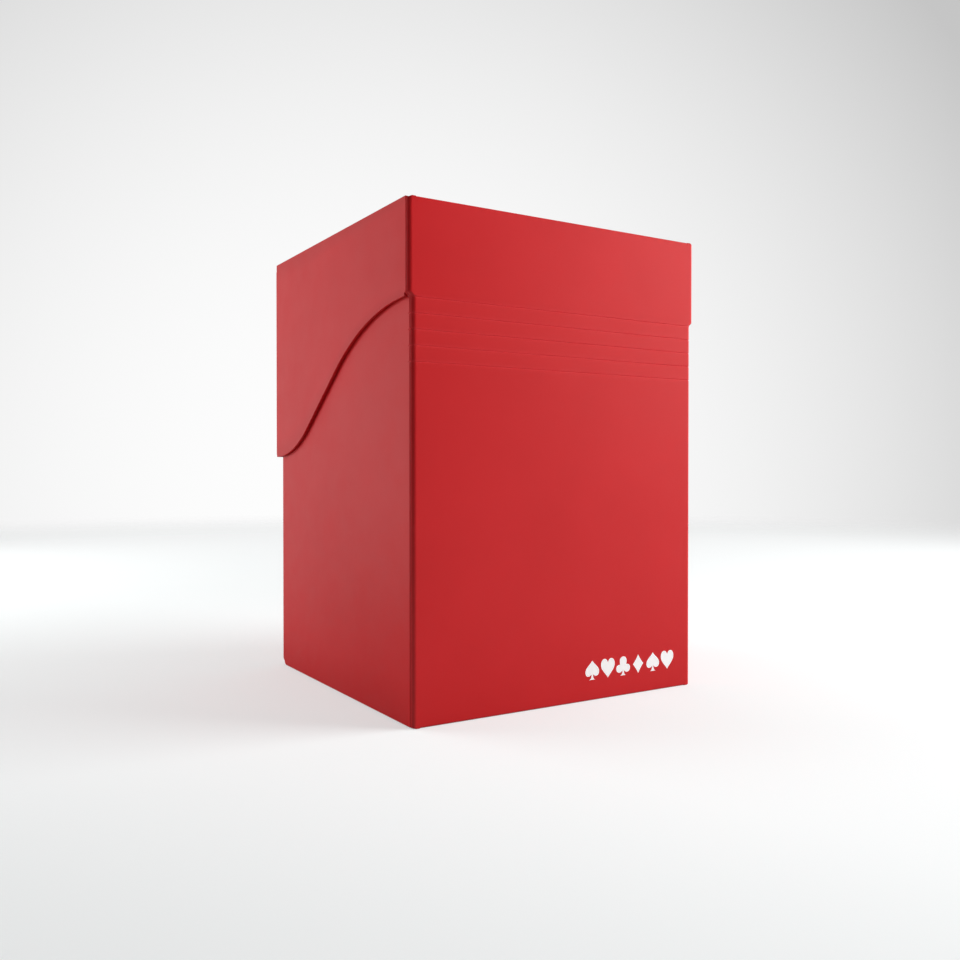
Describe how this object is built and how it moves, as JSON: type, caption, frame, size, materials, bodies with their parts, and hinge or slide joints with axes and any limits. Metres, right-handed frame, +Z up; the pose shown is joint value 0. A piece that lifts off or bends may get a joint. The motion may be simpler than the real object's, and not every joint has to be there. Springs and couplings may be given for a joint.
{
  "type": "deck box",
  "caption": "Folding card deck box in creased polypropylene sheet: a tray, a lid with curved side flaps on a multi-crease living hinge, and a loose divider.",
  "frame": {"origin": "under the middle of the closed box's bounding box, on the face it stands on", "axes": "+Z up; +Y towards the hinge side; -Y towards the lid's front panel; X across, symmetric about X = 0"},
  "size_m": [0.072, 0.0724, 0.099],
  "materials": {
    "red_sheet": "satin polypropylene with a fine grain",
    "red_hinge": "satin polypropylene, scored and flexed",
    "red_divider": "satin polypropylene with a fine grain"
  },
  "bodies": {
    "tray": {"back_panel": "red_sheet", "bottom_panel": "red_sheet", "front_panel": "red_sheet", "side_panel_left": "red_sheet", "side_panel_right": "red_sheet", "bottom_tab_left": "red_sheet", "bottom_tab_right": "red_sheet", "front_tab_left": "red_sheet", "front_tab_right": "red_sheet"},
    "strip_1": {"hinge_strip_1": "red_hinge"},
    "strip_2": {"hinge_strip_2": "red_hinge"},
    "strip_3": {"hinge_strip_3": "red_hinge"},
    "strip_4": {"hinge_strip_4": "red_hinge"},
    "lid": {"lid_back_panel": "red_sheet", "lid_top_panel": "red_sheet", "lid_front_panel": "red_sheet", "lid_side_left": "red_sheet", "lid_side_right": "red_sheet", "lid_top_tab_left": "red_sheet", "lid_top_tab_right": "red_sheet", "lid_front_tab_left": "red_sheet", "lid_front_tab_right": "red_sheet"},
    "divider": {"card_divider": "red_divider"}
  },
  "joints": [
    {"name": "lid_fold", "type": "hinge", "parent": "tray", "child": "lid", "pos_m": [0, 0.04063, 0.07435], "axis": [-1, 0, 0], "range_deg": [0, 180]},
    {"name": "strip_1_fold", "type": "hinge", "parent": "tray", "child": "strip_1", "pos_m": [0, 0.03601, 0.06835], "axis": [-1, 0, 0], "range_deg": [0, 36]},
    {"name": "strip_2_fold", "type": "hinge", "parent": "tray", "child": "strip_2", "pos_m": [0, 0.0365, 0.06985], "axis": [-1, 0, 0], "range_deg": [0, 72]},
    {"name": "strip_3_fold", "type": "hinge", "parent": "tray", "child": "strip_3", "pos_m": [0, 0.03736, 0.07135], "axis": [-1, 0, 0], "range_deg": [0, 108]},
    {"name": "strip_4_fold", "type": "hinge", "parent": "tray", "child": "strip_4", "pos_m": [0, 0.03868, 0.07285], "axis": [-1, 0, 0], "range_deg": [0, 144]},
    {"name": "divider_slide", "type": "slide", "parent": "tray", "child": "divider", "axis": [0, 1, 0], "range_m": [-0.0325, 0.0325]}
  ],
  "couplings": [
    {"joint": "strip_1_fold", "follows": "lid_fold", "ratio": 0.2},
    {"joint": "strip_2_fold", "follows": "lid_fold", "ratio": 0.4},
    {"joint": "strip_3_fold", "follows": "lid_fold", "ratio": 0.6},
    {"joint": "strip_4_fold", "follows": "lid_fold", "ratio": 0.8}
  ]
}
